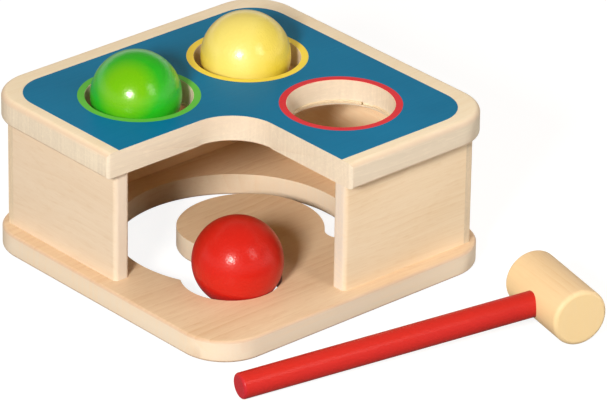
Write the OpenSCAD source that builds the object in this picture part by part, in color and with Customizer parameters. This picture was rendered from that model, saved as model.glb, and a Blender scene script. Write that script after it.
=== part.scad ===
// Pound-a-ball bench toy with its mallet.
// Origin: centre of the base plate's underside. +Z is up, the open front corner is at -X and -Y.

/* [Plates] */
// Side of the square base plate and top plate
plate_w = 200; // [190:1:230]
// Thickness of the base plate
base_t = 13; // [11:0.5:18]
// Thickness of the top plate
top_t = 15; // [13:0.5:20]
// Corner radius of both plates, seen from above
plate_corner_r = 27.5; // [15:0.5:35]
// Rounding along the top plate's upper outer edge
top_arris_r = 3.5; // [1:0.25:5]
// Rounding along the top plate's lower outer edge
top_under_r = 1.5; // [0.5:0.25:4]
// Rounding along both outer edges of the base plate
base_arris_r = 1.75; // [0.5:0.25:4]
// Width of each arm of the top plate, from the back edge to the notch
arm_w = 108.4; // [102:0.2:115]
// Radius of the notch's inner corner
notch_r = 27.5; // [10:0.5:40]
// Radius of the upright edges at the tips of the arms
tip_r = 2.5; // [1:0.25:5]

/* [Walls] */
// Clear height between the plates
wall_h = 65.5; // [60:0.5:90]
// Thickness of the side walls
wall_t = 10; // [8:0.5:12]
// Distance of the side walls' outer faces from the plates' edge
wall_inset = 8.5; // [6:0.5:12]
// Distance of the side walls' front ends from the notch
wall_end_inset = 3.9; // [3:0.1:12]
// Radius of the upright edges at the side walls' front ends
wall_end_r = 2.5; // [1:0.25:4]
// Thickness of the back panels
panel_t = 5; // [4:0.5:8]
// Distance of the back panels' outer faces from the plates' edge
panel_inset = 12; // [8:0.5:16]
// Radius of the back panels' outer upright edges
panel_edge_r = 1.5; // [0.5:0.25:3]

/* [Balls and holes] */
// Radius of the balls
ball_r = 25; // [22:0.25:27]
// Distance from one hole centre to the next
hole_pitch = 77.4; // [74:0.2:86]
// How far the holes are set from their middle place towards the open corner, along X and Y
hole_shift = 5.45; // [0:0.05:8]
// Room round a ball in its hole
hole_clear = 4.4; // [3:0.1:6]
// Height of a held ball's centre above the top face
ball_rise = 0.5; // [-2:0.1:2]
// How far the green ball sits off the middle of its hole, along X and Y
green_off = [-1.6, 0.7]; // [-2.5:0.1:2.5]
// How far the yellow ball sits off the middle of its hole, along X and Y
yellow_off = [-0.4, 0.9]; // [-2.5:0.1:2.5]

/* [Hold rings] */
// Height of a ring's bead
ring_t = 2; // [1.5:0.1:3]
// Wood left between the ring's groove and the top plate's underside
ring_foot = 1; // [0.8:0.1:3]
// Depth of the ring's groove in the hole's wall
ring_groove = 2; // [1:0.1:3]
// How far a ring's bead stands out of the hole's wall
ring_proud = 1.8; // [0.5:0.1:2.5]
// Thickness of the thin lip that carries a ball
lip_t = 1.2; // [0.8:0.1:1.4]
// Angle of the split in a ring
ring_split = 14; // [6:1:30]
// Direction of the split, from +X
ring_split_dir = 35; // [0:1:360]
// Room round a ring in its groove
ring_clear = 0.1; // [0.05:0.05:0.3]
// Room between a ring's lip and the ball that it carries
seat_gap = 0.27; // [0.2:0.01:0.5]

/* [Track] */
// How far the slot's outer edge is set off the middle of the holes, along X and Y
track_shift = [0.9, 3.4]; // [-5:0.1:5]
// How far the slot's outer edge lies outside the circle through the hole centres
track_reach = 12.5; // [10:0.1:14]
// Width of the slot where it is narrowest
slot_w_start = 18; // [17:0.1:22]
// Width of the slot where it is widest, before the recess
slot_w_end = 34.7; // [30:0.1:38]
// Direction of the narrowest place, from +X
tongue_dir = -22.6; // [-30:0.2:0]
// Radius of the tongue's nose, where the slot turns to the recess
nose_r = 29.9; // [24:0.1:34]
// Direction in which the nose leaves the tongue's outer curve, from +X
nose_dir = 127; // [115:1:140]
// Direction of the slot's closed end, from +X
slot_start_dir = -41.2; // [-50:0.2:-30]
// Direction where the tongue's root ends, inside the recess
root_end_dir = -118; // [-125:1:-112]
// How far the recess is set inwards from the rows of holes, along X and Y
recess_shift = 0.9; // [0:0.1:3]
// Room round a ball in the recess
recess_clear = 2.5; // [1.5:0.1:5]
// Rounding of the corner between the tongue and the recess
lip_r = 4; // [1:0.25:6]
// Direction in which the ball leans in the recess, from +X
ball_lean_dir = -90; // [-180:1:0]
// Room between the ball and the edge of the recess
lean_gap = 0.35; // [0.2:0.05:1]

/* [Print] */
// Thickness of the print
print_t = 0.15; // [0.1:0.05:0.3]
// Plain border of the top plate, outside the blue print, were the print in the middle
print_border = 10.1; // [8:0.1:12]
// How far the blue print is set towards the open corner, along X and Y
print_shift = 1.9; // [0:0.1:3]
// Corner radius of the blue print
print_corner_r = 22.2; // [15:0.1:35]
// Plain strip between the blue print and the notch
print_notch_gap = 0.2; // [0.2:0.1:3]
// Width of the coloured rings round the holes
print_ring_w = 4.2; // [3:0.1:7]
// Plain strip between a coloured ring and its hole
print_hole_gap = 0.3; // [0.2:0.1:1]

/* [Dowels] */
// Radius of the dowels
dowel_r = 3; // [2.5:0.25:3.5]
// Length of a dowel in the plate
dowel_in_plate = 9; // [6:0.5:9.5]
// Length of a dowel in the wall
dowel_in_wall = 14; // [8:0.5:25]
// Distance of the dowels from the ends of the wall
dowel_inset = 16; // [10:1:30]
// Room round a dowel for the glue
dowel_clear = 0.1; // [0.05:0.05:0.3]
// Room past the ends of a dowel
dowel_end_gap = 0.5; // [0.2:0.1:1]

/* [Mallet] */
// Radius of the mallet's head
head_r = 16; // [13:0.25:20]
// Length of the mallet's head
head_len = 54.5; // [45:0.5:70]
// Rounding of the head's edges
head_edge_r = 2.5; // [1:0.25:4]
// Radius of the handle
handle_r = 7.25; // [5:0.25:8]
// Length of the handle from the head's axis to its free end
handle_reach = 190; // [150:1:220]
// Length of the handle past the head's axis
handle_past = 10; // [5:0.5:11]
// Rounding of the handle's free end
handle_edge_r = 1.6; // [0.5:0.1:3]
// Room round the handle in the head
handle_clear = 0.1; // [0.05:0.05:0.3]
// Place of the mallet's head beside the toy, along X
mallet_x = 74.8; // [40:0.2:110]
// Distance from the base plate's edge to the middle of the mallet's head
mallet_out = 72.6; // [60:0.2:110]
// Direction in which the mallet lies, from +X
mallet_turn = -13.8; // [-16:0.2:0]

/* [Hidden] */

$fn = 96;
// Overshoot of cutting tools past the faces that they cut
over = 1;
// Overlap of two curves that run into each other, so that they cross instead of just touching
lap = 0.02;

// Step of length r in one direction
function along(r, dir) = r * [cos(dir), sin(dir)];

half_w = plate_w / 2;
top_z0 = base_t + wall_h;
top_z1 = top_z0 + top_t;
// Place of the notch's two straight edges, the same along X and Y
notch_at = half_w - arm_w;

// Side walls and back panels: faces given as distances from the middle
wall_out = half_w - wall_inset;
wall_mid = wall_out - wall_t / 2;
wall_front = notch_at + wall_end_inset;
panel_out = half_w - panel_inset;
panel_in = panel_out - panel_t;

// The holes sit on a square pattern, and the recess takes about the fourth place. A row of holes would be
// in the middle along the plate at 0, and in the middle across its arm at arm_mid: the pattern lies between.
hole_r = ball_r + hole_clear;
arm_mid = half_w - arm_w / 2;
hole_mid = (arm_mid - hole_pitch / 2) / 2 - hole_shift;
hole_far = hole_mid + hole_pitch / 2;
hole_near = hole_mid - hole_pitch / 2;
green_at = [hole_near, hole_far];
yellow_at = [hole_far, hole_far];
red_at = [hole_far, hole_near];
recess_at = (hole_near + recess_shift) * [1, 1];

// Hold rings
groove_r = hole_r + ring_groove;
ring_z0 = top_z0 + ring_foot;
ring_z1 = ring_z0 + ring_t;
ball_z = top_z1 + ball_rise;
// The lip ends where it meets the ball
lip_in_r = sqrt(pow(ball_r + seat_gap, 2) - pow(ball_z - ring_z1, 2));

// Distance from the origin to the far side of a circle, looking in one direction
function reach(at, r, dir) =
    let (a = at * along(1, dir))
    a + sqrt(r * r - at * at + a * a);
// The slot lies between an outer circle and an off-centre inner circle, the tongue
track_at = hole_mid * [1, 1] + track_shift;
track_r = hole_pitch / sqrt(2) + track_reach;
tongue_r = track_r - (slot_w_start + slot_w_end) / 2;
tongue_off = along((slot_w_end - slot_w_start) / 2, tongue_dir);
tongue_at = track_at + tongue_off;
nose_at = tongue_at + along(tongue_r - nose_r, nose_dir);
flank_x = nose_at.x - nose_r;
slot_in_r = reach(tongue_off, tongue_r, slot_start_dir);
slot_end_r = (track_r - slot_in_r) / 2;
slot_end_at = track_at + along(track_r - slot_end_r, slot_start_dir);
recess_r = ball_r + recess_clear;
// Rounded corner between the tongue's flank and the recess
corner_y = recess_at.y + sqrt(pow(recess_r, 2) - pow(flank_x - recess_at.x, 2));
lip_x = flank_x + lip_r;
lip_at = [lip_x, recess_at.y + sqrt(pow(recess_r + lip_r, 2) - pow(lip_x - recess_at.x, 2))];
lip_void = recess_at + (lip_at - recess_at) * (recess_r - over) / (recess_r + lip_r);

// The ball in the recess stands on the ground and leans towards the edge
ball_at_base_top = sqrt(pow(ball_r, 2) - pow(ball_r - base_t, 2));
red_ball_at = recess_at + along(recess_r - ball_at_base_top - lean_gap, ball_lean_dir);

// Dowels stand in the middle of the side walls, near both ends
dowel_near = wall_front + dowel_inset;
dowel_far = panel_in - dowel_inset;
left_spots = [[-wall_mid, dowel_near], [-wall_mid, dowel_far]];
right_spots = [[dowel_near, -wall_mid], [dowel_far, -wall_mid]];
dowel_spots = concat(left_spots, right_spots);
dowel_len = dowel_in_plate + dowel_in_wall;

// The mallet lies on its head and on the free end of its handle
mallet_y = -half_w - mallet_out;
handle_touch = handle_reach - handle_edge_r;
mallet_tilt = asin(head_r / norm([handle_touch, handle_r])) - atan(handle_r / handle_touch);

beech = "#ecd6b0";
beech_warm = "#dcb58c";
lacquer = "#f0cf94";
blue = "#21769b";
green = "#4fae3c";
yellow = "#e8d050";
red = "#d8352c";
clear_rubber = [0.85, 0.86, 0.82, 0.5];

// Square with round corners, centred
module round_square(w, r) {
    square([w, w - 2 * r], center = true);
    square([w - 2 * r, w], center = true);
    for (x = [-1, 1], y = [-1, 1])
        translate([x, y] * (w / 2 - r))
            circle(r);
}

// What is cut off an edge at the origin to round it
module arris_cut(r) {
    difference() {
        translate([-r, -r])
            square(r + over);
        translate([-r, -r])
            circle(r);
    }
}

// Rounding tool for the whole rim of a plate, with the edge at z = 0 and the plate below it
module rim_cut(r) {
    straight = plate_w - 2 * plate_corner_r;
    for (side = [0:3])
        rotate([0, 0, 90 * side]) {
            translate([half_w, straight / 2, 0])
                rotate([90, 0, 0])
                    linear_extrude(straight)
                        arris_cut(r);
            translate([straight / 2, straight / 2, 0])
                rotate_extrude(angle = 90)
                    translate([plate_corner_r, 0])
                        arris_cut(r);
        }
}

// Bar in the XY plane with two corners rounded at its low Y end
module round_end_bar(x0, x1, y0, y1, r) {
    translate([x0 + r, y0])
        square([x1 - x0 - 2 * r, r]);
    translate([x0, y0 + r])
        square([x1 - x0, y1 - y0 - r]);
    for (x = [x0 + r, x1 - r])
        translate([x, y0 + r])
            circle(r);
}

// Half section of a turned bar along Y, rounded by r0 at its start and by r1 at its end
module turned_section(radius, len, r0, r1) {
    translate([0, r0])
        square([radius, len - r0 - r1]);
    square([radius - r0, r0 + over / 2]);
    translate([0, len - r1 - over / 2])
        square([radius - r1, r1 + over / 2]);
    translate([radius - r0, r0])
        circle(r0);
    translate([radius - r1, len - r1])
        circle(r1);
}

// Opening over the front corner, widened by gap on the side of the plate
module notch_shape(gap) {
    edge = notch_at + gap;
    soft = notch_at - notch_r;
    far = -plate_w;
    translate([far, far])
        square([edge - far, soft - far]);
    translate([far, far])
        square([soft - far, edge - far]);
    translate([soft, soft])
        circle(notch_r + gap);
}

// Outline of the top plate
module top_shape() {
    difference() {
        round_square(plate_w, plate_corner_r);
        notch_shape(0);
        for (flip = [0, 1])
            mirror([flip, -flip])
                translate([-half_w, notch_at])
                    difference() {
                        square(2 * tip_r, center = true);
                        translate([tip_r, tip_r])
                            circle(tip_r);
                    }
    }
}

// Solid left inside the slot: a circle, with a smaller nose and a straight flank beside the recess
module tongue_shape() {
    intersection() {
        translate(tongue_at)
            circle(tongue_r);
        union() {
            translate(nose_at)
                circle(nose_r + lap);
            polygon([nose_at, nose_at + along(plate_w, nose_dir), [plate_w, plate_w],
                [plate_w, -plate_w], [flank_x, -plate_w], [flank_x, nose_at.y]]);
        }
    }
}

// Root that joins the tongue to the rest of the base plate
module root_shape() {
    root_mid_dir = (slot_start_dir + root_end_dir) / 2;
    translate(track_at)
        polygon([[0, 0], along(plate_w, slot_start_dir), along(plate_w, root_mid_dir),
            along(plate_w, root_end_dir)]);
}

// Outline of the slot and the recess
module track_shape() {
    difference() {
        translate(track_at)
            circle(track_r);
        tongue_shape();
        root_shape();
    }
    translate(slot_end_at)
        circle(slot_end_r + lap);
    translate(recess_at)
        circle(recess_r);
    difference() {
        polygon([lip_at, [flank_x - over, lip_at.y], [flank_x - over, corner_y - over], lip_void]);
        translate(lip_at)
            circle(lip_r + lap);
    }
}

// Bores for the dowels of some spots, on both sides of the seam at height z
module dowel_bores(spots, z, below, above) {
    for (spot = spots)
        translate([spot.x, spot.y, z - below - dowel_end_gap])
            cylinder(h = below + above + 2 * dowel_end_gap, r = dowel_r + dowel_clear);
}

module dowel_set(z, below) {
    for (spot = dowel_spots)
        translate([spot.x, spot.y, z - below])
            cylinder(h = dowel_len, r = dowel_r);
}

module base_plate() {
    color(beech_warm)
        difference() {
            linear_extrude(base_t)
                round_square(plate_w, plate_corner_r);
            translate([0, 0, -over])
                linear_extrude(base_t + 2 * over)
                    track_shape();
            translate([0, 0, base_t])
                rim_cut(base_arris_r);
            mirror([0, 0, 1])
                rim_cut(base_arris_r);
            dowel_bores(dowel_spots, base_t, dowel_in_plate, dowel_in_wall);
        }
}

// Left side wall; the right one is its mirror image across the diagonal
module side_wall() {
    difference() {
        translate([0, 0, base_t])
            linear_extrude(wall_h)
                round_end_bar(-wall_out, -wall_out + wall_t, wall_front, panel_in, wall_end_r);
        dowel_bores(left_spots, base_t, dowel_in_plate, dowel_in_wall);
        dowel_bores(left_spots, top_z0, dowel_in_wall, dowel_in_plate);
    }
}

module left_wall() {
    color(beech)
        side_wall();
}

module right_wall() {
    color(beech)
        mirror([1, -1, 0])
            side_wall();
}

// Runs behind the left wall and the back-right panel
module back_left_panel() {
    color(beech_warm)
        translate([0, 0, base_t])
            linear_extrude(wall_h)
                difference() {
                    translate([-wall_out, panel_in])
                        square([wall_out + panel_out, panel_t]);
                    translate([-wall_out, panel_out])
                        mirror([1, 0])
                            arris_cut(panel_edge_r);
                    translate([panel_out, panel_out])
                        arris_cut(panel_edge_r);
                }
}

module back_right_panel() {
    color(beech_warm)
        translate([0, 0, base_t])
            linear_extrude(wall_h)
                difference() {
                    translate([panel_in, -wall_out])
                        square([panel_t, wall_out + panel_in]);
                    translate([panel_out, -wall_out])
                        mirror([0, 1])
                            arris_cut(panel_edge_r);
                }
}

module base_dowels() {
    color(beech)
        dowel_set(base_t, dowel_in_plate);
}

module top_plate() {
    color(beech)
        difference() {
            translate([0, 0, top_z0])
                linear_extrude(top_t)
                    top_shape();
            for (at = [green_at, yellow_at, red_at])
                translate(at) {
                    translate([0, 0, top_z0 - over])
                        cylinder(h = top_t + 2 * over, r = hole_r);
                    translate([0, 0, ring_z0])
                        cylinder(h = ring_t + ring_clear, r = groove_r);
                }
            translate([0, 0, top_z1])
                rim_cut(top_arris_r);
            translate([0, 0, top_z0])
                mirror([0, 0, 1])
                    rim_cut(top_under_r);
            dowel_bores(dowel_spots, top_z0, dowel_in_wall, dowel_in_plate);
        }
}

module top_dowels() {
    color(beech)
        dowel_set(top_z0, dowel_in_wall);
}

module blue_print() {
    color(blue)
        translate([0, 0, top_z1])
            linear_extrude(print_t)
                difference() {
                    translate(-print_shift * [1, 1])
                        round_square(plate_w - 2 * print_border, print_corner_r);
                    notch_shape(print_notch_gap);
                    for (at = [green_at, yellow_at, red_at])
                        translate(at)
                            circle(hole_r + print_ring_w);
                }
}

module ring_print(at) {
    translate([at.x, at.y, top_z1])
        linear_extrude(print_t)
            difference() {
                circle(hole_r + print_ring_w);
                circle(hole_r + print_hole_gap);
            }
}

module green_ring_print() {
    color(green)
        ring_print(green_at);
}

module yellow_ring_print() {
    color(yellow)
        ring_print(yellow_at);
}

module red_ring_print() {
    color(red)
        ring_print(red_at);
}

// Split ring, sprung into the groove: a bead, and a thin soft lip that gives way when the ball is struck.
// The lip's inner edge follows a ball that leans.
module hold_ring(at, off) {
    bead_in_r = hole_r - ring_proud;
    bead_out_r = groove_r - ring_clear;
    lip_low = ring_t - lip_t;
    translate([at.x, at.y, ring_z0])
        difference() {
            rotate([0, 0, ring_split_dir + ring_split / 2])
                rotate_extrude(angle = 360 - ring_split)
                    polygon([[bead_in_r, 0], [bead_out_r, 0], [bead_out_r, ring_t], [0, ring_t],
                        [0, lip_low], [bead_in_r, lip_low]]);
            translate([off.x, off.y, -over])
                cylinder(h = ring_t + 2 * over, r = lip_in_r);
        }
}

module green_hold_ring() {
    color(clear_rubber)
        hold_ring(green_at, green_off);
}

module yellow_hold_ring() {
    color(clear_rubber)
        hold_ring(yellow_at, yellow_off);
}

module red_hold_ring() {
    color(clear_rubber)
        hold_ring(red_at, [0, 0]);
}

module green_ball() {
    color(green)
        translate([green_at.x + green_off.x, green_at.y + green_off.y, ball_z])
            sphere(ball_r);
}

module yellow_ball() {
    color(yellow)
        translate([yellow_at.x + yellow_off.x, yellow_at.y + yellow_off.y, ball_z])
            sphere(ball_r);
}

module red_ball() {
    color(red)
        translate([red_ball_at.x, red_ball_at.y, ball_r])
            sphere(ball_r);
}

// The mallet's own frame: head along Y, handle along -X, the head's middle at the origin
module place_mallet() {
    translate([mallet_x, mallet_y, head_r])
        rotate([0, 0, mallet_turn])
            rotate([0, -mallet_tilt, 0])
                children();
}

module mallet_head() {
    color(lacquer)
        place_mallet()
            difference() {
                translate([0, head_len / 2, 0])
                    rotate([90, 0, 0])
                        rotate_extrude()
                            turned_section(head_r, head_len, head_edge_r, head_edge_r);
                translate([handle_past, 0, 0])
                    rotate([0, -90, 0])
                        cylinder(h = handle_past + head_r + over, r = handle_r + handle_clear);
            }
}

module mallet_handle() {
    color(red)
        place_mallet()
            translate([handle_past, 0, 0])
                rotate([0, -90, 0])
                    rotate_extrude()
                        turned_section(handle_r, handle_past + handle_reach, handle_edge_r, handle_edge_r);
}

base_plate();
left_wall();
right_wall();
back_left_panel();
back_right_panel();
base_dowels();
top_plate();
top_dowels();
blue_print();
green_ring_print();
yellow_ring_print();
red_ring_print();
green_hold_ring();
yellow_hold_ring();
red_hold_ring();
green_ball();
yellow_ball();
red_ball();
mallet_head();
mallet_handle();
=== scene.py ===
# Wooden pound-a-ball bench toy and its mallet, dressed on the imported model.
from math import pi, radians

import bpy
from mathutils import Matrix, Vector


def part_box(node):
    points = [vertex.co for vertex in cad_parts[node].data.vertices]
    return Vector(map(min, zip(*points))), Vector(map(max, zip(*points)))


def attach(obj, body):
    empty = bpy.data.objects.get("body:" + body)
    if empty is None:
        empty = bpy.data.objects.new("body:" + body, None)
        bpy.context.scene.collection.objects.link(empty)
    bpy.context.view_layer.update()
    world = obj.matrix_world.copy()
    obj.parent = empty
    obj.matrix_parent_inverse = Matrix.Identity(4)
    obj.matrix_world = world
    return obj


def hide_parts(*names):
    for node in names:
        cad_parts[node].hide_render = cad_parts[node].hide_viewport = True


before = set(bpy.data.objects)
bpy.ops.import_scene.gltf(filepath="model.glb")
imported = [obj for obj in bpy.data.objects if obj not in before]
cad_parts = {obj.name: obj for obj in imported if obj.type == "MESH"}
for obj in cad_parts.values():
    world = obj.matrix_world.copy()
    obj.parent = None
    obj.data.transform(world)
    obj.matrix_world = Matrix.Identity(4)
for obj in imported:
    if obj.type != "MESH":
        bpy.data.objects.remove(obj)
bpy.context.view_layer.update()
scene = bpy.context.scene
scene.view_settings.view_transform = "Standard"


# Camera
# A long lens about 3 m away that looks down on the toy's open corner, as in the photograph. camera_offset
# says how far it stands from the toy's origin to the right, up and back, in metres along its own axes.
def facing_toy(azimuth, elevation, roll, offset):
    """Matrix of a camera or lamp that faces the toy from a direction, moved by offset in its own axes."""
    return (
        Matrix.Rotation(azimuth, 4, "Z")
        @ Matrix.Rotation(pi / 2 - elevation, 4, "X")
        @ Matrix.Rotation(roll, 4, "Z")
        @ Matrix.Translation(offset)
    )


camera_azimuth = radians(-41.73)
camera_elevation = radians(26.85)
camera_roll = radians(0.93)
camera_offset = (0.03555, 0.02774, 3.0338)
film_width_mm = 36
lens_mm = 327.8
farthest_seen = 20
bpy.ops.object.select_all(action="DESELECT")
bpy.ops.object.camera_add()
camera = bpy.context.object
camera.name = "photo_camera"
camera.data.sensor_fit = "HORIZONTAL"
camera.data.sensor_width = film_width_mm
camera.data.lens = lens_mm
camera.data.clip_end = farthest_seen
camera.matrix_world = facing_toy(camera_azimuth, camera_elevation, camera_roll, camera_offset)
scene.camera = camera


# Light and floor
# A round key lamp at the left, whose spot shows on the balls, and a weak soft box at the right. Two matt
# cards at the right light the toy without showing in the lacquer, and the room lights it from behind. The
# floor is a white paper sweep that keeps a faint shadow.
def linear(hex_colour):
    """Linear RGBA of an sRGB hex colour."""
    parts = [int(hex_colour[i:i + 2], 16) / 255 for i in (1, 3, 5)]
    return tuple(c / 12.92 if c <= 0.04045 else ((c + 0.055) / 1.055) ** 2.4 for c in parts) + (1.0,)


def add_node(tree, kind, sockets=None, **settings):
    """Adds a shader node: settings are its properties, sockets a value or a link for each input it names."""
    made = tree.nodes.new("ShaderNode" + kind)
    for name, value in settings.items():
        setattr(made, name, value)
    for name, value in (sockets or {}).items():
        if isinstance(value, bpy.types.NodeSocket):
            tree.links.new(value, made.inputs[name])
        else:
            made.inputs[name].default_value = value
    return made


def add_lamp(name, shape, size, azimuth, elevation, distance, level):
    """Area lamp that lights a white face turned to it at the given level, 1 being full white."""
    lamp_white = "#FFFBF5"
    bpy.ops.object.select_all(action="DESELECT")
    bpy.ops.object.light_add(type="AREA")
    lamp = bpy.context.object
    lamp.name = name
    lamp.data.shape = shape
    lamp.data.size, lamp.data.size_y = size
    lamp.data.energy = level * pi ** 2 * distance ** 2
    lamp.data.color = linear(lamp_white)[:3]
    lamp.matrix_world = facing_toy(radians(azimuth), radians(elevation), 0, (0, 0, distance))
    return lamp


add_lamp("key_lamp", "DISK", (0.38, 0.38), azimuth=-59.5, elevation=27.5, distance=2.0, level=1.08)
add_lamp("right_soft_box", "RECTANGLE", (0.22, 0.40), azimuth=4, elevation=36.5, distance=1.0, level=0.17)
card_distance = 1.8
for name, size, azimuth, elevation, level in (
    ("right_card", (1.2, 1.2), 56, 24, 0.28),
    ("right_low_card", (1.2, 0.3), 42, 6, 0.15),
):
    card = add_lamp(name, "RECTANGLE", size, azimuth, elevation, card_distance, level)
    card.visible_glossy = False

surround = bpy.data.worlds.new("white_surround")
scene.world = surround
surround.use_nodes = True
air = surround.node_tree
air.nodes.clear()
ray = add_node(air, "LightPath").outputs
towards = add_node(air, "TexCoord").outputs["Generated"]
# for lighting, the room is bright behind the toy, at +Y, and dark in front, where only the lamps stand
brightest = (0.2, 0.96, 0.2)
fall_off = 4.0
room_level = 1.2
rear = add_node(air, "VectorMath", {0: towards, 1: brightest}, operation="DOT_PRODUCT").outputs["Value"]
rear = add_node(air, "MapRange", {"Value": rear, "From Min": -1.0}).outputs[0]
rear = add_node(air, "Math", {0: rear, 1: fall_off}, operation="POWER").outputs[0]
room = add_node(air, "Math", {0: rear, 1: room_level}, operation="MULTIPLY").outputs[0]
# mirrored, the white sweep stands all round up to about 12 degrees and fades by 25 degrees to a dim ceiling
sweep_top = 0.2
ceiling_foot = 0.42
ceiling_level = 0.1
height = add_node(air, "SeparateXYZ", {0: towards}).outputs["Z"]
sky = add_node(
    air, "MapRange",
    {"Value": height, "From Min": sweep_top, "From Max": ceiling_foot,
     "To Min": 1.0, "To Max": ceiling_level},
    interpolation_type="SMOOTHSTEP",
).outputs[0]
mirrored = add_node(
    air, "MapRange", {"Value": ray["Is Glossy Ray"], "To Min": room, "To Max": sky}
).outputs[0]
seen = add_node(
    air, "Math", {0: ray["Is Camera Ray"], 1: ray["Is Transmission Ray"]}, operation="MAXIMUM"
).outputs[0]
strength = add_node(air, "MapRange", {"Value": seen, "To Min": mirrored}).outputs[0]
# what the room throws onto the toy is warm; where the surround itself is seen or mirrored, it is white. A Mix
# of colours has its share at input 0, the colours at 6 and 7, and the mixed colour at output 2.
shown = add_node(air, "Math", {0: seen, 1: ray["Is Glossy Ray"]}, operation="MAXIMUM").outputs[0]
tint = add_node(
    air, "Mix", {0: shown, 6: linear("#FFE8CE"), 7: linear("#FFFFFF")}, data_type="RGBA"
).outputs[2]
glow = add_node(air, "Background", {"Color": tint, "Strength": strength})
add_node(air, "OutputWorld", {"Surface": glow.outputs[0]})


def blank_material(name):
    """A material whose nodes are still to be added."""
    material = bpy.data.materials.new(name)
    material.use_nodes = True
    material.node_tree.nodes.clear()
    return material


# matt white paper: it looks white, is a little darker where the toy shades it, and shows dimly in the lacquer
white_to_eye = 0.88
white_mirrored = 0.12
floor_size = 12
floor_gap = 0.0003
bpy.ops.mesh.primitive_plane_add(size=floor_size, location=(0, 0, -floor_gap))
floor = bpy.context.object
floor.name = "floor"
paper = blank_material("white_paper_sweep")
sweep = paper.node_tree
ray = add_node(sweep, "LightPath").outputs
mirrored = add_node(sweep, "MapRange", {"Value": ray["Is Glossy Ray"], "To Max": white_mirrored}).outputs[0]
seen = add_node(
    sweep, "Math", {0: ray["Is Camera Ray"], 1: ray["Is Transmission Ray"]}, operation="MAXIMUM"
).outputs[0]
lift = add_node(sweep, "MapRange", {"Value": seen, "To Min": mirrored, "To Max": white_to_eye}).outputs[0]
matt = add_node(sweep, "BsdfDiffuse", {"Color": linear("#848484")})
shine = add_node(sweep, "Emission", {"Color": linear("#FFFFFF"), "Strength": lift})
both = add_node(sweep, "AddShader", {0: matt.outputs[0], 1: shine.outputs[0]})
add_node(sweep, "OutputMaterial", {"Surface": both.outputs[0]})
floor.data.materials.append(paper)

# Base plate
# A square board of beech staves glued edge to edge, grain along X, with the slot and the recess routed
# through it. The slot's edges are eased, most of all those on the underside.
merge_distance = 1e-6
smooth_below = radians(35)


def copy_of(node_name, name):
    """A copy of a CAD node with its triangles merged, ready to be worked on."""
    flat_within = radians(0.5)
    bpy.ops.object.select_all(action="DESELECT")
    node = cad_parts[node_name]
    node.select_set(True)
    bpy.context.view_layer.objects.active = node
    bpy.ops.object.duplicate()
    piece = bpy.context.object
    piece.name = name
    bpy.ops.mesh.customdata_custom_splitnormals_clear()
    bpy.ops.object.mode_set(mode="EDIT")
    bpy.ops.mesh.select_all(action="SELECT")
    bpy.ops.mesh.remove_doubles(threshold=merge_distance)
    bpy.ops.mesh.dissolve_limited(angle_limit=flat_within)
    bpy.ops.object.mode_set(mode="OBJECT")
    return piece


def ease_edges(piece, offset, segments, here):
    """Rounds the sharp edges of a piece whose ends both pass the test here(point)."""
    sharp_from = radians(40)
    bpy.ops.object.mode_set(mode="EDIT")
    bpy.ops.mesh.select_mode(type="EDGE")
    bpy.ops.mesh.select_all(action="DESELECT")
    bpy.ops.mesh.edges_select_sharp(sharpness=sharp_from)
    bpy.ops.object.mode_set(mode="OBJECT")
    points = piece.data.vertices
    for edge in piece.data.edges:
        edge.select = edge.select and all(here(points[i].co) for i in edge.vertices)
    bpy.ops.object.mode_set(mode="EDIT")
    bpy.ops.mesh.bevel(offset=offset, segments=segments, affect="EDGES", profile=0.5, clamp_overlap=True)
    bpy.ops.object.mode_set(mode="OBJECT")
    bpy.ops.object.shade_smooth_by_angle(angle=smooth_below)


def from_middle(point):
    """How far a point lies from the toy's upright axis, along X or Y, whichever is more."""
    return max(abs(point.x), abs(point.y))


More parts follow.
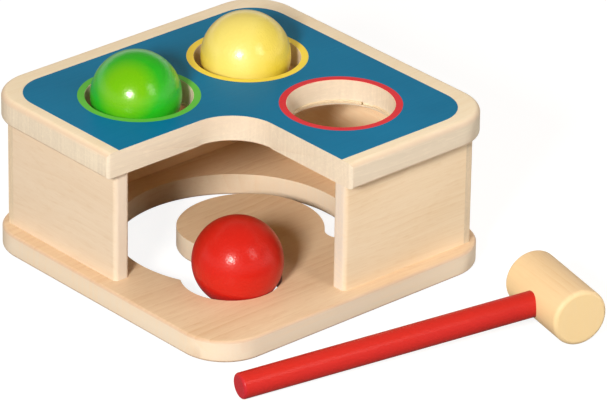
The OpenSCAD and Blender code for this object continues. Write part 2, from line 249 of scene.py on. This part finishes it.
def wood(name, light, dark, sawn, face, grain_turn, pith, stave, ring,
         ring_share, fibre_share, fleck_share, tone_share, inside=0.0, burnish=0.0):
    """Beech sawn from a log, under satin lacquer: faint lines along the grain, flecks and a soft sheen.

    light and dark bound the colour of the broad faces, whose normal is face; sawn is the colour of cut edges.
    grain_turn turns the grain to X, and pith places the heart of the log in those turned axes. stave is the
    width of a glued stave across the grain and ring that of a year's growth. These three are in mm. The
    shares say how much each pattern darkens the wood. Edges nearer to the middle than inside, in metres, keep
    the colour of the broad faces where they run with the grain. burnish says how far a router has darkened
    the edges that it rounded.
    """
    material = blank_material(name)
    tree = material.node_tree
    place = add_node(tree, "TexCoord").outputs
    mm_per_metre = (1000, 1000, 1000)
    log = add_node(
        tree, "Mapping", {"Vector": place["Object"], "Rotation": grain_turn, "Scale": mm_per_metre}
    ).outputs[0]
    # each stave comes from another place in the tree
    stave_spread = (700, 46, 30)
    across = add_node(tree, "SeparateXYZ", {0: log}).outputs["Y"]
    count = add_node(tree, "Math", {0: across, 1: stave}, operation="DIVIDE").outputs[0]
    count = add_node(tree, "Math", {0: count}, operation="FLOOR").outputs[0]
    chance = add_node(tree, "TexWhiteNoise", {"W": count}, noise_dimensions="1D").outputs
    moved = add_node(
        tree, "VectorMath", {0: chance["Color"], 1: stave_spread, 2: log}, operation="MULTIPLY_ADD"
    ).outputs[0]
    moved = add_node(tree, "VectorMath", {0: moved, 1: pith}, operation="SUBTRACT").outputs[0]
    # slow bends of the grain, about 60 mm across and three times as long
    sway_width = 60
    sway_stretch = (0.3, 1, 1)
    sway_by = (0, 22, 22)
    slow = add_node(tree, "VectorMath", {0: moved, 1: sway_stretch}, operation="MULTIPLY").outputs[0]
    sway = add_node(
        tree, "TexNoise", {"Vector": slow, "Scale": 1 / sway_width, "Detail": 2.0}
    ).outputs["Color"]
    bent = add_node(tree, "VectorMath", {0: sway, 1: sway_by, 2: moved}, operation="MULTIPLY_ADD").outputs[0]
    # slow drift from paler to warmer wood
    drift_width = 34
    drift = add_node(
        tree, "TexNoise", {"Vector": slow, "Scale": 1 / drift_width, "Detail": 3.0}
    ).outputs["Fac"]
    # growth rings: pale spring wood that ends in a thin darker line, clear in some places and lost in others;
    # a wave of scale 1 repeats 20 times in 2 pi
    late_sharpness = 2.2
    clear_width = 18
    years = add_node(
        tree, "TexWave",
        {"Vector": bent, "Scale": 2 * pi / (20 * ring),
         "Distortion": 3.0, "Detail": 3.0, "Detail Scale": 0.08},
        wave_type="RINGS", rings_direction="X", wave_profile="SAW",
    ).outputs["Fac"]
    late = add_node(tree, "Math", {0: years, 1: late_sharpness}, operation="POWER").outputs[0]
    clear = add_node(
        tree, "TexNoise", {"Vector": slow, "Scale": 1 / clear_width, "Detail": 2.0}
    ).outputs["Fac"]
    clear = add_node(tree, "MapRange", {"Value": clear, "From Min": 0.38, "From Max": 0.66}).outputs[0]
    late = add_node(tree, "Math", {0: late, 1: clear}, operation="MULTIPLY").outputs[0]
    # fibres, drawn about 1.3 mm wide, which is coarser than real ones, so that they show; 40 times as long
    fibre_width = 1.3
    fibre_stretch = (0.025, 1, 1)
    fine = add_node(tree, "VectorMath", {0: bent, 1: fibre_stretch}, operation="MULTIPLY").outputs[0]
    fibre = add_node(
        tree, "TexNoise", {"Vector": fine, "Scale": 1 / fibre_width, "Detail": 4.0, "Roughness": 0.62}
    ).outputs["Fac"]
    # ray flecks, a few mm long and about 1 mm wide
    fleck_width = 1.6
    fleck_stretch = (0.22, 1, 1)
    dash = add_node(tree, "VectorMath", {0: bent, 1: fleck_stretch}, operation="MULTIPLY").outputs[0]
    fleck = add_node(
        tree, "TexNoise", {"Vector": dash, "Scale": 1 / fleck_width, "Detail": 2.0}
    ).outputs["Fac"]
    fleck = add_node(tree, "MapRange", {"Value": fleck, "From Min": 0.54, "From Max": 0.72}).outputs[0]
    # all patterns add up to one shade; fibres and drift are about one half on average, which comes off again
    stave_share = 0.14
    shade = 0.25 - fibre_share / 2 - tone_share / 2
    for pattern, share in (
        (late, ring_share), (fibre, fibre_share), (fleck, fleck_share), (drift, tone_share),
        (chance["Value"], stave_share),
    ):
        shade = add_node(tree, "Math", {0: pattern, 1: share, 2: shade}, operation="MULTIPLY_ADD").outputs[0]
    # the ends of the boards show upright rays, about 1.6 mm wide
    ray_width = 1.6
    ray_stretch = (0.3, 1, 0.06)
    ray_share = 0.25
    end = add_node(
        tree, "Mapping", {"Vector": place["Normal"], "Rotation": grain_turn}, vector_type="VECTOR"
    ).outputs[0]
    end = add_node(tree, "SeparateXYZ", {0: end}).outputs["X"]
    end = add_node(tree, "Math", {0: end}, operation="ABSOLUTE").outputs[0]
    tall = add_node(tree, "VectorMath", {0: moved, 1: ray_stretch}, operation="MULTIPLY").outputs[0]
    rays = add_node(
        tree, "TexNoise", {"Vector": tall, "Scale": 1 / ray_width, "Detail": 3.0}
    ).outputs["Fac"]
    rays = add_node(tree, "MapRange", {"Value": rays, "To Min": -ray_share, "To Max": ray_share}).outputs[0]
    shade = add_node(tree, "Math", {0: end, 1: rays, 2: shade}, operation="MULTIPLY_ADD").outputs[0]
    shade = add_node(tree, "Clamp", {"Value": shade}).outputs[0]
    # sawn and routed edges have a colour of their own
    flat = add_node(
        tree, "VectorMath", {0: place["Normal"], 1: face}, operation="DOT_PRODUCT"
    ).outputs["Value"]
    flat = add_node(tree, "Math", {0: flat}, operation="ABSOLUTE").outputs[0]
    # a router burnishes the edges that it rounds; flat - flat * flat is 0 on broad faces and cut edges, and
    # up to 0.25 on the round between them
    curved = add_node(tree, "Math", {0: flat, 1: flat}, operation="MULTIPLY").outputs[0]
    curved = add_node(tree, "Math", {0: flat, 1: curved}, operation="SUBTRACT").outputs[0]
    curved = add_node(tree, "MapRange", {"Value": curved, "From Max": 0.25, "To Max": burnish}).outputs[0]
    # inner edges that run with the grain count as flat
    spot = add_node(tree, "VectorMath", {0: place["Object"]}, operation="ABSOLUTE").outputs[0]
    spot = add_node(tree, "SeparateXYZ", {0: spot}).outputs
    reach = add_node(tree, "Math", {0: spot["X"], 1: spot["Y"]}, operation="MAXIMUM").outputs[0]
    inner = add_node(tree, "Math", {0: reach, 1: inside}, operation="LESS_THAN").outputs[0]
    with_grain = add_node(tree, "MapRange", {"Value": end, "To Min": 1.0, "To Max": 0.0}).outputs[0]
    inner = add_node(tree, "Math", {0: inner, 1: with_grain}, operation="MULTIPLY").outputs[0]
    flat = add_node(tree, "Math", {0: flat, 1: inner}, operation="MAXIMUM").outputs[0]
    edge = add_node(tree, "Mix", {0: shade, 6: linear(sawn), 7: linear(light)}, data_type="RGBA").outputs[2]
    board = add_node(tree, "Mix", {0: shade, 6: linear(light), 7: linear(dark)}, data_type="RGBA").outputs[2]
    colour = add_node(tree, "Mix", {0: flat, 6: edge, 7: board}, data_type="RGBA").outputs[2]
    colour = add_node(
        tree, "Mix", {0: curved, 6: colour, 7: linear("#EDE3E0")}, data_type="RGBA", blend_type="MULTIPLY"
    ).outputs[2]
    rough = add_node(tree, "MapRange", {"Value": shade, "To Min": 0.40, "To Max": 0.56}).outputs[0]
    bump = add_node(tree, "Bump", {"Height": shade, "Strength": 0.25, "Distance": 0.00008}).outputs[0]
    finish = add_node(
        tree, "BsdfPrincipled",
        {"Base Color": colour, "Roughness": rough, "IOR": 1.5, "Specular IOR Level": 0.25, "Normal": bump},
    )
    add_node(tree, "OutputMaterial", {"Surface": finish.outputs[0]})
    return material


def dress(piece, material):
    """Gives a piece one material in place of all it had."""
    piece.data.materials.clear()
    piece.data.materials.append(material)


touching = 1e-5
slot_reach = 0.075
slot_foot_round = 0.0016
slot_edge_round = 0.0006
base = copy_of("base_plate", "base_board")
base_low, base_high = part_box("base_plate")
ease_edges(
    base, slot_foot_round, segments=4,
    here=lambda p: p.z < base_low.z + touching and from_middle(p) < slot_reach,
)
ease_edges(
    base, slot_edge_round, segments=3,
    here=lambda p: p.z > base_high.z - touching and from_middle(p) < slot_reach,
)
along_x = (0, 0, 0)
along_y = (0, 0, radians(-90))
face_x, face_y, face_z = (1, 0, 0), (0, 1, 0), (0, 0, 1)
# the warmest board: light brown on top, with paler cut edges
base_beech = wood(
    "beech_board_base", light="#F1D8B7", dark="#D0A275", sawn="#EADCC8",
    face=face_z, grain_turn=along_x, pith=(0, -72, 46), stave=64, ring=5.2,
    ring_share=0.26, fibre_share=0.42, fleck_share=0.14, tone_share=0.6, inside=0.09, burnish=1.0,
)
dress(base, base_beech)
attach(base, "bench")
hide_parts("base_plate")

# Side walls
# Two plain beech boards, 10 mm thick, with their grain level and their front ends rounded, dowelled and
# glued between the plates. Each is one piece of wood: a stave as wide as the toy takes in the whole board.
one_piece = 200
# pale cream boards with faint level lines
left_beech = wood(
    "beech_board_left", light="#ECDCC6", dark="#D4B592", sawn="#E4D8C6",
    face=face_x, grain_turn=along_y, pith=(0, 62, 120), stave=one_piece, ring=4.2,
    ring_share=0.14, fibre_share=0.34, fleck_share=0.14, tone_share=0.45,
)
right_beech = wood(
    "beech_board_right", light="#F2E0C4", dark="#D7B384", sawn="#D8D0C6",
    face=face_y, grain_turn=along_x, pith=(0, -40, 18), stave=one_piece, ring=3.6,
    ring_share=0.2, fibre_share=0.45, fleck_share=0.12, tone_share=0.5,
)
dress(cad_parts["left_wall"], left_beech)
dress(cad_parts["right_wall"], right_beech)

# Back panels
# Two thin beech boards that close the two back sides, glued in a butt joint at the back corner. They are
# yellower than the walls, and their sawn ends are darker.
panel_light, panel_dark = "#FBE4C2", "#E8B884"
back_left_beech = wood(
    "beech_panel_back_left", light=panel_light, dark=panel_dark, sawn="#C6B59E",
    face=face_y, grain_turn=along_x, pith=(0, 70, 70), stave=one_piece, ring=2.6,
    ring_share=0.15, fibre_share=0.4, fleck_share=0.14, tone_share=0.4,
)
back_right_beech = wood(
    "beech_panel_back_right", light=panel_light, dark=panel_dark, sawn="#C6B49C",
    face=face_x, grain_turn=along_y, pith=(0, -70, 90), stave=one_piece, ring=2.6,
    ring_share=0.15, fibre_share=0.4, fleck_share=0.14, tone_share=0.4,
)
dress(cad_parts["back_left_panel"], back_left_beech)
dress(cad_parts["back_right_panel"], back_right_beech)

# Dowels
# Plain beech pins with upright grain, glued into the plates and the side walls. They are out of sight in the
# finished toy.
upright = (0, radians(90), 0)
dowel_beech = wood(
    "beech_dowel_plain", light="#EBD0A8", dark="#C99C68", sawn="#EBD0A8",
    face=face_z, grain_turn=upright, pith=(0, 0, 0), stave=400, ring=2.0,
    ring_share=0.4, fibre_share=0.6, fleck_share=0.1, tone_share=0.3,
)
for name in ("base_dowels", "top_dowels"):
    dress(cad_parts[name], dowel_beech)

# Top plate
# A thicker board of glued beech staves, grain along X, sawn to an L with three bored holes. Its outer edge is
# rounded by a router; the sawn notch and the holes are only eased.
rounded_border = 0.006
upper_edge_round = 0.0004
lower_edge_round = 0.0006
top = copy_of("top_plate", "top_board")
top_low, top_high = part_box("top_plate")
rim = top_high.x - rounded_border
ease_edges(
    top, upper_edge_round, segments=2,
    here=lambda p: p.z > top_high.z - touching and from_middle(p) < rim,
)
ease_edges(
    top, lower_edge_round, segments=2,
    here=lambda p: p.z < top_low.z + touching and from_middle(p) < rim,
)
# the palest board, with greyer cut edges
top_beech = wood(
    "beech_board_top", light="#FEF1D8", dark="#ECD2A4", sawn="#D5C7B3",
    face=face_z, grain_turn=along_x, pith=(0, 30, 190), stave=58, ring=4.0,
    ring_share=0.12, fibre_share=0.35, fleck_share=0.14, tone_share=0.4, burnish=1.0,
)
dress(top, top_beech)
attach(top, "bench")
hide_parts("top_plate")


# Prints
# Screen-printed inks under clear lacquer: a blue field and a coloured ring round each hole. The wood's
# fibres show through as very faint streaks, and the lacquer has only a weak sheen.
def ink(name, colour, deep):
    """Screen-print ink under lacquer: an even colour, with faint streaks along X from the wood below."""
    material = blank_material(name)
    tree = material.node_tree
    place = add_node(tree, "TexCoord").outputs["Object"]
    # streaks about 0.9 mm wide and 25 times as long
    streak_width = 0.9
    streak_share = 0.45
    fine = add_node(tree, "Mapping", {"Vector": place, "Scale": (40, 1000, 1000)}).outputs[0]
    streak = add_node(
        tree, "TexNoise", {"Vector": fine, "Scale": 1 / streak_width, "Detail": 3.0}
    ).outputs["Fac"]
    # the ink lies thicker in places about 45 mm across
    places_per_metre = 22.0
    thick = add_node(
        tree, "TexNoise", {"Vector": place, "Scale": places_per_metre, "Detail": 3.0}
    ).outputs["Fac"]
    depth = add_node(
        tree, "Math", {0: streak, 1: streak_share, 2: thick}, operation="MULTIPLY_ADD"
    ).outputs[0]
    depth = add_node(tree, "MapRange", {"Value": depth, "From Min": 0.45}).outputs[0]
    tint = add_node(tree, "Mix", {0: depth, 6: linear(colour), 7: linear(deep)}, data_type="RGBA").outputs[2]
    rough = add_node(tree, "MapRange", {"Value": streak, "To Min": 0.36, "To Max": 0.46}).outputs[0]
    bump = add_node(tree, "Bump", {"Height": streak, "Strength": 0.12, "Distance": 0.00004}).outputs[0]
    finish = add_node(
        tree, "BsdfPrincipled",
        {"Base Color": tint, "Roughness": rough, "IOR": 1.5, "Specular IOR Level": 0.1, "Normal": bump},
    )
    add_node(tree, "OutputMaterial", {"Surface": finish.outputs[0]})
    return material


dress(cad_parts["blue_print"], ink("ink_blue_under_lacquer", "#007AA8", "#00729E"))
dress(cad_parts["green_ring_print"], ink("ink_green_under_lacquer", "#6ACA4A", "#60C042"))
dress(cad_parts["yellow_ring_print"], ink("ink_yellow_under_lacquer", "#FFE656", "#FADC4C"))
dress(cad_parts["red_ring_print"], ink("ink_red_under_lacquer", "#E43842", "#DA323C"))


# Hold rings
# A split ring of soft plastic in a groove near the foot of each hole. Its bead is milky and takes the colour
# of the wood round it; the thin lip that carries the ball is clear and hardly shows.
def split_ring(name, centre, inner, outer, low, high, ease):
    """A ring of plain section with a split in it, turned about the axis of a hole; ease rounds its edges."""
    split = radians(14)
    split_towards = radians(18)
    sharp_from = radians(60)
    steps = 96
    bpy.ops.object.select_all(action="DESELECT")
    bpy.ops.mesh.primitive_plane_add(size=1, location=(0, 0, 0))
    piece = bpy.context.object
    piece.name = name
    bpy.ops.object.mode_set(mode="EDIT")
    bpy.ops.transform.resize(value=(outer - inner, high - low, 1))
    bpy.ops.transform.rotate(value=-pi / 2, orient_axis="X", center_override=(0, 0, 0))
    bpy.ops.transform.translate(value=((outer + inner) / 2, 0, (high + low) / 2))
    bpy.ops.transform.rotate(value=-(split_towards + split / 2), orient_axis="Z", center_override=(0, 0, 0))
    bpy.ops.transform.translate(value=(centre.x, centre.y, 0))
    bpy.ops.mesh.spin(steps=steps, angle=-(2 * pi - split), center=(centre.x, centre.y, 0), axis=(0, 0, 1))
    bpy.ops.mesh.select_all(action="SELECT")
    bpy.ops.mesh.remove_doubles(threshold=merge_distance)
    bpy.ops.mesh.normals_make_consistent(inside=False)
    bpy.ops.mesh.select_mode(type="EDGE")
    bpy.ops.mesh.select_all(action="DESELECT")
    bpy.ops.mesh.edges_select_sharp(sharpness=sharp_from)
    bpy.ops.mesh.bevel(offset=ease, segments=2, affect="EDGES")
    bpy.ops.object.mode_set(mode="OBJECT")
    bpy.ops.object.shade_smooth_by_angle(angle=smooth_below)
    return piece


def elastomer(name, light, dark, clearness):
    """Soft moulded plastic: a faint cloudiness about 2.5 mm across and a satin skin."""
    clouds_per_metre = 1000 / 2.5
    material = blank_material(name)
    tree = material.node_tree
    place = add_node(tree, "TexCoord").outputs["Object"]
    haze = add_node(
        tree, "TexNoise", {"Vector": place, "Scale": clouds_per_metre, "Detail": 2.0}
    ).outputs["Fac"]
    milk = add_node(tree, "Mix", {0: haze, 6: linear(light), 7: linear(dark)}, data_type="RGBA").outputs[2]
    finish = add_node(
        tree, "BsdfPrincipled", {"Base Color": milk, "Roughness": 0.4, "IOR": 1.4, "Alpha": 1 - clearness}
    )
    add_node(tree, "OutputMaterial", {"Surface": finish.outputs[0]})
    return material


milky_elastomer = elastomer("milky_elastomer_bead", "#F0DDBE", "#E6CDA6", clearness=0.0)
clear_elastomer = elastomer("clear_elastomer_lip", "#F4F0E6", "#EAE4D6", clearness=0.985)
hole_radius = 0.0294
groove_depth = 0.0019
bead_proud = 0.0010
bead_height = 0.0014
bead_ease = 0.0003
lip_height = 0.0008
lip_ease = 0.0002
# the lips of the two filled holes end just short of their balls, which sit off the holes' centres
lip_radius = {"green": 0.0240, "yellow": 0.0232, "red": 0.0220}
for colour in ("green", "yellow", "red"):
    node_name = colour + "_hold_ring"
    low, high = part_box(node_name)
    axis = (low + high) / 2
    bead_radius = hole_radius - bead_proud
    bead = split_ring(
        colour + "_ring_bead", axis, inner=bead_radius, outer=hole_radius + groove_depth,
        low=high.z - bead_height, high=high.z, ease=bead_ease,
    )
    lip = split_ring(
        colour + "_ring_lip", axis, inner=lip_radius[colour], outer=bead_radius,
        low=high.z - lip_height, high=high.z, ease=lip_ease,
    )
    dress(bead, milky_elastomer)
    dress(lip, clear_elastomer)
    for piece in (bead, lip):
        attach(piece, "bench")
    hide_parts(node_name)


# Balls
# Turned beech balls, 50 mm across, dipped in gloss lacquer. Two sit in their holes and the red one has
# rolled into the recess.
def gloss_lacquer(name, colour, end_grain_and_painted_light_colour, end_grain_and_painted_light_axis, end_grain_and_painted_light_reach, glow, glow_level, coat):
    """Coloured gloss lacquer on turned wood: a slight orange peel and a clear hard shine.

    Where the surface faces along the given axis, either way, it takes the second of its two colours, out to
    the angle whose cosine is the given reach. On the handle that axis runs along it, and the second colour is
    its end grain, which soaks up more lacquer. On the balls the second colour is painted light: on the green
    ball a yellower lit side towards the key lamp, and on the yellow and red balls painted shade, a deeper
    colour at the sides where the key lamp's light turns to shade. glow is the tint of the broad soft shine
    below the clear coat, glow_level its strength, and coat the strength of the clear coat.
    """
    material = blank_material(name)
    tree = material.node_tree
    place = add_node(tree, "TexCoord").outputs
    # the dipped coat is a little thinner in places about 15 mm across
    places_per_metre = 65.0
    thin_share = 0.25
    thin = add_node(
        tree, "TexNoise", {"Vector": place["Object"], "Scale": places_per_metre, "Detail": 3.0}
    ).outputs["Fac"]
    # the share of the second colour along the axis: end grain on the handle, painted light and painted shade
    # on the balls
    end = add_node(
        tree, "VectorMath", {0: place["Normal"], 1: end_grain_and_painted_light_axis}, operation="DOT_PRODUCT"
    ).outputs["Value"]
    end = add_node(tree, "Math", {0: end}, operation="ABSOLUTE").outputs[0]
    end = add_node(tree, "MapRange", {"Value": end, "From Min": end_grain_and_painted_light_reach, "From Max": 0.95}).outputs[0]
    depth = add_node(
        tree, "Math", {0: thin, 1: thin_share, 2: end}, operation="MULTIPLY_ADD", use_clamp=True
    ).outputs[0]
    tint = add_node(
        tree, "Mix", {0: depth, 6: linear(colour), 7: linear(end_grain_and_painted_light_colour)}, data_type="RGBA"
    ).outputs[2]
    # orange peel about 1.1 mm across, stronger below the clear coat than on it
    peel_per_metre = 900.0
    peel = add_node(
        tree, "TexNoise", {"Vector": place["Object"], "Scale": peel_per_metre, "Detail": 2.0}
    ).outputs["Fac"]
    below = add_node(tree, "Bump", {"Height": peel, "Strength": 0.8, "Distance": 0.0003}).outputs[0]
    above = add_node(tree, "Bump", {"Height": peel, "Strength": 0.8, "Distance": 0.0001}).outputs[0]
    rough = add_node(tree, "MapRange", {"Value": thin, "To Min": 0.42, "To Max": 0.50}).outputs[0]
    finish = add_node(
        tree, "BsdfPrincipled",
        {"Base Color": tint, "Roughness": rough, "IOR": 1.5, "Normal": below, "Coat Normal": above,
         "Specular IOR Level": glow_level, "Specular Tint": linear(glow),
         "Coat Weight": coat, "Coat Roughness": 0.21, "Coat IOR": 1.5},
    )
    add_node(tree, "OutputMaterial", {"Surface": finish.outputs[0]})
    return material


# the ways along which the balls' second colour is painted, as they lie: towards the key lamp a yellower lit
# side, painted light; across the key lamp's light a deeper colour at the sides, painted shade
painted_light_towards_key_lamp = (-0.70, -0.48, 0.53)
painted_shade_across_key_light = (0.50, -0.86, 0.05)
# the green ball is painted yellow-green where it faces the key lamp: painted light
green_lacquer = gloss_lacquer(
    "gloss_lacquer_green", colour="#00B01E", end_grain_and_painted_light_colour="#6AB608", end_grain_and_painted_light_axis=painted_light_towards_key_lamp, end_grain_and_painted_light_reach=0.7,
    glow="#FFCB00", glow_level=0.2, coat=0.75,
)
# the yellow ball is painted a deeper yellow at its sides, where the key lamp's light turns to shade: painted
# shade
yellow_lacquer = gloss_lacquer(
    "gloss_lacquer_yellow", colour="#F1DF76", end_grain_and_painted_light_colour="#E4CB38", end_grain_and_painted_light_axis=painted_shade_across_key_light, end_grain_and_painted_light_reach=0.35,
    glow="#FFFFFF", glow_level=0.4, coat=0.8,
)
# the red ball has the same painted shade at its sides, only a trace darker
red_lacquer = gloss_lacquer(
    "gloss_lacquer_red", colour="#C82014", end_grain_and_painted_light_colour="#C42014", end_grain_and_painted_light_axis=painted_shade_across_key_light, end_grain_and_painted_light_reach=0.35,
    glow="#FFCBCB", glow_level=0.15, coat=0.40,
)
dress(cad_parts["green_ball"], green_lacquer)
dress(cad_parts["yellow_ball"], yellow_lacquer)
dress(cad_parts["red_ball"], red_lacquer)

# Mallet
# A head turned from pale wood under clear lacquer, and a straight dowel with red satin lacquer glued into
# it. It lies beside the toy on its head and on the handle's end, turned by 13.8 degrees.
mallet_turn = 13.8
head_turn = (0, 0, radians(mallet_turn - 90))
# honey-coloured wood with slow patches of a warmer tone
head_wood = wood(
    "lacquered_wood_head", light="#F0D6AC", dark="#DEB07A", sawn="#F2D49E",
    face=face_z, grain_turn=head_turn, pith=(0, -20, 40), stave=400, ring=4.5,
    ring_share=0.25, fibre_share=0.4, fleck_share=0.1, tone_share=0.6,
)
dress(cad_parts["mallet_head"], head_wood)
# the handle's end grain lies along it, and its ends take the second colour
lengthways = (-0.97, -0.24, 0)
handle_lacquer = gloss_lacquer(
    "satin_lacquer_red_handle", colour="#CA2C20", end_grain_and_painted_light_colour="#C02830", end_grain_and_painted_light_axis=lengthways, end_grain_and_painted_light_reach=0.35,
    glow="#FFCBCB", glow_level=0.15, coat=0.12,
)
dress(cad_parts["mallet_handle"], handle_lacquer)
